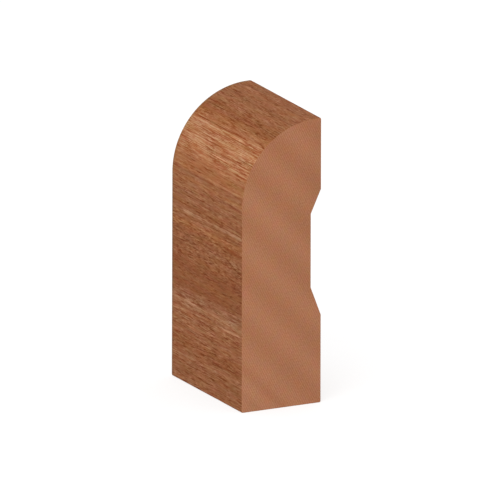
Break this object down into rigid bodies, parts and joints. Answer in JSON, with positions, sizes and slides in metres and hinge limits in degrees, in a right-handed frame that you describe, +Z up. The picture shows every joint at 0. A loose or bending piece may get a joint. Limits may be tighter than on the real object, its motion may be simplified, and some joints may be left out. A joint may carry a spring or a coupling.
{
  "type": "bullnose moulding",
  "caption": "Short length of hardwood bullnose moulding: flat face, quarter-round nose to a narrow top strip, and a shallow relief along the back.",
  "frame": {"origin": "middle of the flat base that the moulding stands on", "axes": "+Z up the face, +X from the show face towards the wall at its back, +Y along the grain to the far saw cut"},
  "size_m": [0.018, 0.0312, 0.06],
  "materials": {
    "timber": "matte"
  },
  "bodies": {
    "root": {"bullnose_moulding": "timber"}
  },
  "joints": []
}
